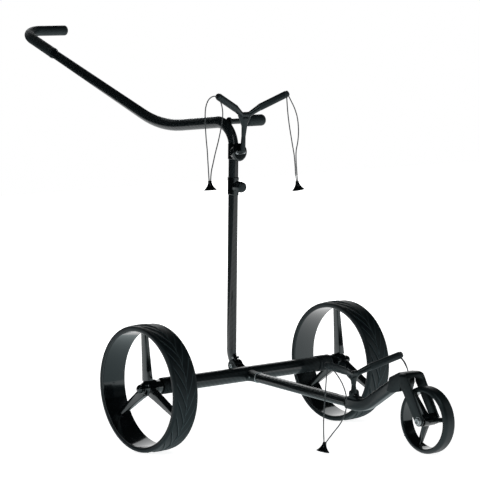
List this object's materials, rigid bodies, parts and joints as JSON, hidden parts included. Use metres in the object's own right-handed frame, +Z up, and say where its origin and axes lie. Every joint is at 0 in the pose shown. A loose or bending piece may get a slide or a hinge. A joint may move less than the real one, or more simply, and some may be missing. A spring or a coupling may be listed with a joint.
{
  "type": "golf push trolley",
  "caption": "Three-wheeled push trolley with a cranked one-handed handle, folding mast and two Y-shaped bag rests with elastic loops.",
  "frame": {"origin": "on the floor, under the middle of the trolley's length and width", "axes": "-Y towards the front wheel, +Y towards the handle, +X to the trolley's left, +Z up"},
  "size_m": [0.641, 1.5452, 1.0229],
  "materials": {
    "carbon_tube": "woven carbon under clear gloss lacquer",
    "black_casting": "satin black",
    "black_plastic": "matte black",
    "cord_stop": "gloss black",
    "wheel_plastic": "satin black",
    "tyre_rubber": "matte black rubber",
    "soft_rubber": "matte black foam rubber",
    "elastic_cord": "black woven sheath",
    "button_gloss": "gloss black",
    "bright_steel": "bright"
  },
  "bodies": {
    "chassis": {"axle_tube": "carbon_tube", "tee_socket": "black_casting", "tee_ring": "bright_steel", "tee_screw": "bright_steel", "centre_tube": "carbon_tube", "front_arm": "carbon_tube", "arm_head": "black_casting", "front_fork": "black_casting", "front_axle_bolt": "bright_steel", "front_spacers": "bright_steel", "foot_bracket": "black_casting", "fold_bolt": "bright_steel", "right_axle_sleeve": "black_plastic", "left_axle_sleeve": "black_plastic", "right_stub_axle": "bright_steel", "left_stub_axle": "bright_steel", "lower_rest_base": "black_casting", "lower_rest_pin": "bright_steel"},
    "mast": {"mast_foot": "black_casting", "foot_screw": "bright_steel", "mast_tube": "carbon_tube", "mast_clamp": "black_casting"},
    "knob": {"lock_knob": "black_plastic"},
    "handle": {"handle_tube": "carbon_tube", "handle_slope": "carbon_tube", "grip_core": "bright_steel", "spigot": "bright_steel", "grip": "soft_rubber", "rest_clamp": "black_casting", "rest_clamp_screws": "bright_steel", "upper_rest_pin": "bright_steel", "accessory_peg": "black_plastic", "peg_sleeve": "soft_rubber"},
    "upper_rest": {"upper_rest": "black_casting", "upper_sleeve_right": "soft_rubber", "upper_sleeve_left": "soft_rubber", "upper_cord_ends": "black_plastic", "upper_cords_right": "elastic_cord", "upper_cords_left": "elastic_cord", "upper_stop_right": "cord_stop", "upper_stop_left": "cord_stop"},
    "lower_rest": {"lower_rest": "black_casting", "lower_sleeve_right": "soft_rubber", "lower_sleeve_left": "soft_rubber", "lower_cord_ends": "black_plastic", "lower_cords_right": "elastic_cord", "lower_cords_left": "elastic_cord", "lower_stop_right": "cord_stop", "lower_stop_left": "cord_stop"},
    "front_wheel": {"front_wheel": "wheel_plastic", "front_tyre": "tyre_rubber", "front_bearings": "bright_steel"},
    "right_wheel": {"right_wheel": "wheel_plastic", "right_tyre": "tyre_rubber", "right_bearings": "bright_steel"},
    "left_wheel": {"left_wheel": "wheel_plastic", "left_tyre": "tyre_rubber", "left_bearings": "bright_steel"},
    "right_button": {"right_button": "button_gloss"},
    "left_button": {"left_button": "button_gloss"}
  },
  "joints": [
    {"name": "mast_fold", "type": "hinge", "parent": "chassis", "child": "mast", "pos_m": [0, -0.05685, 0.1632], "axis": [1, 0, 0], "range_deg": [0, 62]},
    {"name": "knob_turn", "type": "hinge", "parent": "mast", "child": "knob", "pos_m": [0, -0.114, 0.58119], "axis": [0, -0.9937, -0.1125], "range_deg": [-360, 360]},
    {"name": "handle_slide", "type": "slide", "parent": "mast", "child": "handle", "axis": [0, -0.1125, 0.9937], "range_m": [0, 0.06]},
    {"name": "upper_rest_fold", "type": "hinge", "parent": "handle", "child": "upper_rest", "pos_m": [0, -0.13211, 0.664], "axis": [1, 0, 0], "range_deg": [0, 100]},
    {"name": "lower_rest_fold", "type": "hinge", "parent": "chassis", "child": "lower_rest", "pos_m": [0, -0.47061, 0.119], "axis": [-1, 0, 0], "range_deg": [0, 60]},
    {"name": "front_wheel_spin", "type": "hinge", "parent": "chassis", "child": "front_wheel", "pos_m": [0, -0.70061, 0.072], "axis": [1, 0, 0], "continuous": true},
    {"name": "right_wheel_spin", "type": "hinge", "parent": "chassis", "child": "right_wheel", "pos_m": [-0.288, -0.09861, 0.145], "axis": [1, 0, 0], "continuous": true},
    {"name": "left_wheel_spin", "type": "hinge", "parent": "chassis", "child": "left_wheel", "pos_m": [0.288, -0.09861, 0.145], "axis": [1, 0, 0], "continuous": true},
    {"name": "right_button_press", "type": "slide", "parent": "right_wheel", "child": "right_button", "axis": [1, 0, 0], "range_m": [0, 0.004], "stiffness_N_per_m": 600, "springref_m": -0.002},
    {"name": "left_button_press", "type": "slide", "parent": "left_wheel", "child": "left_button", "axis": [-1, 0, 0], "range_m": [0, 0.004], "stiffness_N_per_m": 600, "springref_m": -0.002}
  ]
}
